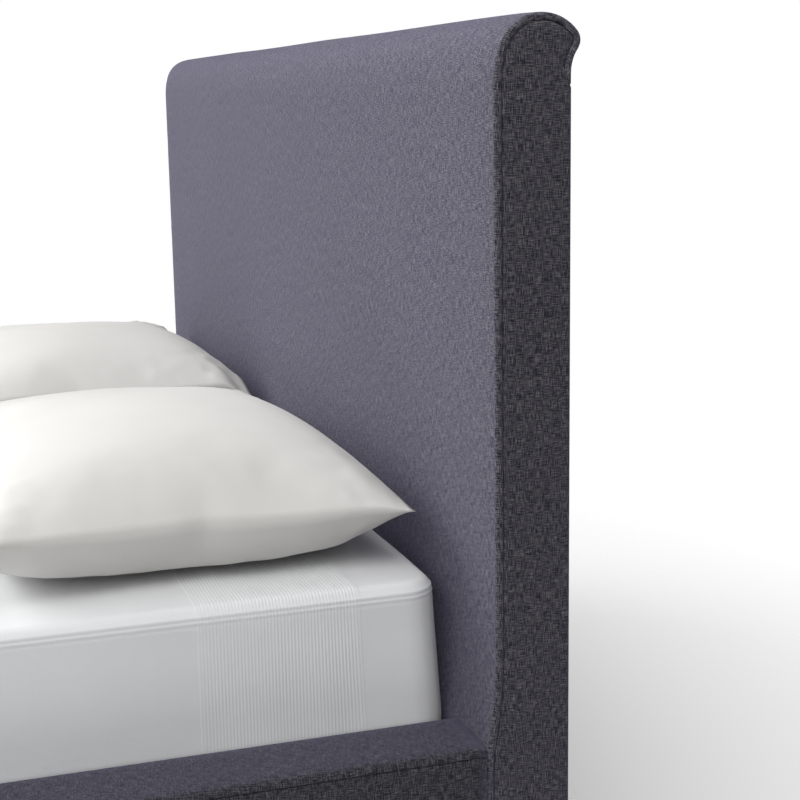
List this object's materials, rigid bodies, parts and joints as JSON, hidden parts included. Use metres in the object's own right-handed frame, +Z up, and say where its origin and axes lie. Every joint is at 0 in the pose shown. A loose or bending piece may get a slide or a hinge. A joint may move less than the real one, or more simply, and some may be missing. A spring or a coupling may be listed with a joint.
{
  "type": "sleigh bed",
  "caption": "Upholstered sleigh bed with rolled-back end boards, padded side rails, slatted base, mattress with ribbed fitted sheet and two pillows.",
  "frame": {"origin": "on the floor, under the middle of the bed (bottom centre of the whole bed)", "axes": "+X to the right seen from the foot end, +Y towards the headboard, +Z up"},
  "size_m": [1.72, 2.2484, 1.042],
  "materials": {
    "grey_cloth": "heathered linen-look weave, matt",
    "black_lining": "non-woven dust cloth, matt",
    "foam": "open-cell foam, matt",
    "plywood": "raw plywood",
    "pine": "planed softwood, unfinished",
    "slat_wood": "planed softwood, unfinished",
    "dark_wood": "stained dark, satin",
    "black_steel": "powder coated, satin",
    "zinc": "zinc plated",
    "black_plastic": "moulded, matt",
    "ticking": "woven ticking, matt",
    "white_cotton": "fine plain-weave cotton with ribbed bands",
    "pillow_cotton": "fine plain-weave cotton"
  },
  "bodies": {
    "frame": {"beam_hangers": "black_steel", "centre_beam": "pine", "foam_left": "foam", "foam_right": "foam", "foot_end_left": "dark_wood", "foot_end_right": "dark_wood", "foot_head_left": "dark_wood", "foot_head_right": "dark_wood", "footboard_back_lining": "black_lining", "footboard_cover": "grey_cloth", "footboard_crossbars": "pine", "footboard_foam": "foam", "footboard_formers": "plywood", "footboard_front_panel": "plywood", "footboard_side_panel_left": "grey_cloth", "footboard_side_panel_right": "grey_cloth", "frame_bolts": "zinc", "headboard_back_lining": "black_lining", "headboard_cover": "grey_cloth", "headboard_crossbars": "pine", "headboard_foam": "foam", "headboard_formers": "plywood", "headboard_front_panel": "plywood", "headboard_side_panel_left": "grey_cloth", "headboard_side_panel_right": "grey_cloth", "inner_board_left": "plywood", "inner_board_right": "plywood", "outer_board_left": "plywood", "outer_board_right": "plywood", "rail_brackets": "black_steel", "side_cover_left": "grey_cloth", "side_cover_right": "grey_cloth", "slat_01": "slat_wood", "slat_02": "slat_wood", "slat_03": "slat_wood", "slat_04": "slat_wood", "slat_05": "slat_wood", "slat_06": "slat_wood", "slat_07": "slat_wood", "slat_08": "slat_wood", "slat_09": "slat_wood", "slat_10": "slat_wood", "slat_11": "slat_wood", "slat_12": "slat_wood", "slat_ledger_left": "pine", "slat_ledger_right": "pine", "slat_screws": "zinc", "support_leg_1": "pine", "support_leg_2": "pine", "top_board_left": "plywood", "top_board_right": "plywood", "top_cover_left": "grey_cloth", "top_cover_right": "grey_cloth"},
    "mattress": {"mattress": "ticking", "fitted_sheet": "white_cotton"},
    "pillow_right": {"pillow_right": "pillow_cotton"},
    "pillow_left": {"pillow_left": "pillow_cotton"},
    "levelling_glide_1": {"levelling_glide_1": "black_plastic"},
    "levelling_glide_2": {"levelling_glide_2": "black_plastic"}
  },
  "joints": [
    {"name": "mattress_lift", "type": "slide", "parent": "frame", "child": "mattress", "axis": [0, 0, 1], "range_m": [0, 0.36]},
    {"name": "pillow_right_lift", "type": "slide", "parent": "mattress", "child": "pillow_right", "axis": [0, 0, 1], "range_m": [0, 0.25]},
    {"name": "pillow_left_lift", "type": "slide", "parent": "mattress", "child": "pillow_left", "axis": [0, 0, 1], "range_m": [0, 0.25]},
    {"name": "glide_1_height", "type": "slide", "parent": "frame", "child": "levelling_glide_1", "axis": [0, 0, 1], "range_m": [0, 0.012]},
    {"name": "glide_2_height", "type": "slide", "parent": "frame", "child": "levelling_glide_2", "axis": [0, 0, 1], "range_m": [0, 0.012]}
  ]
}
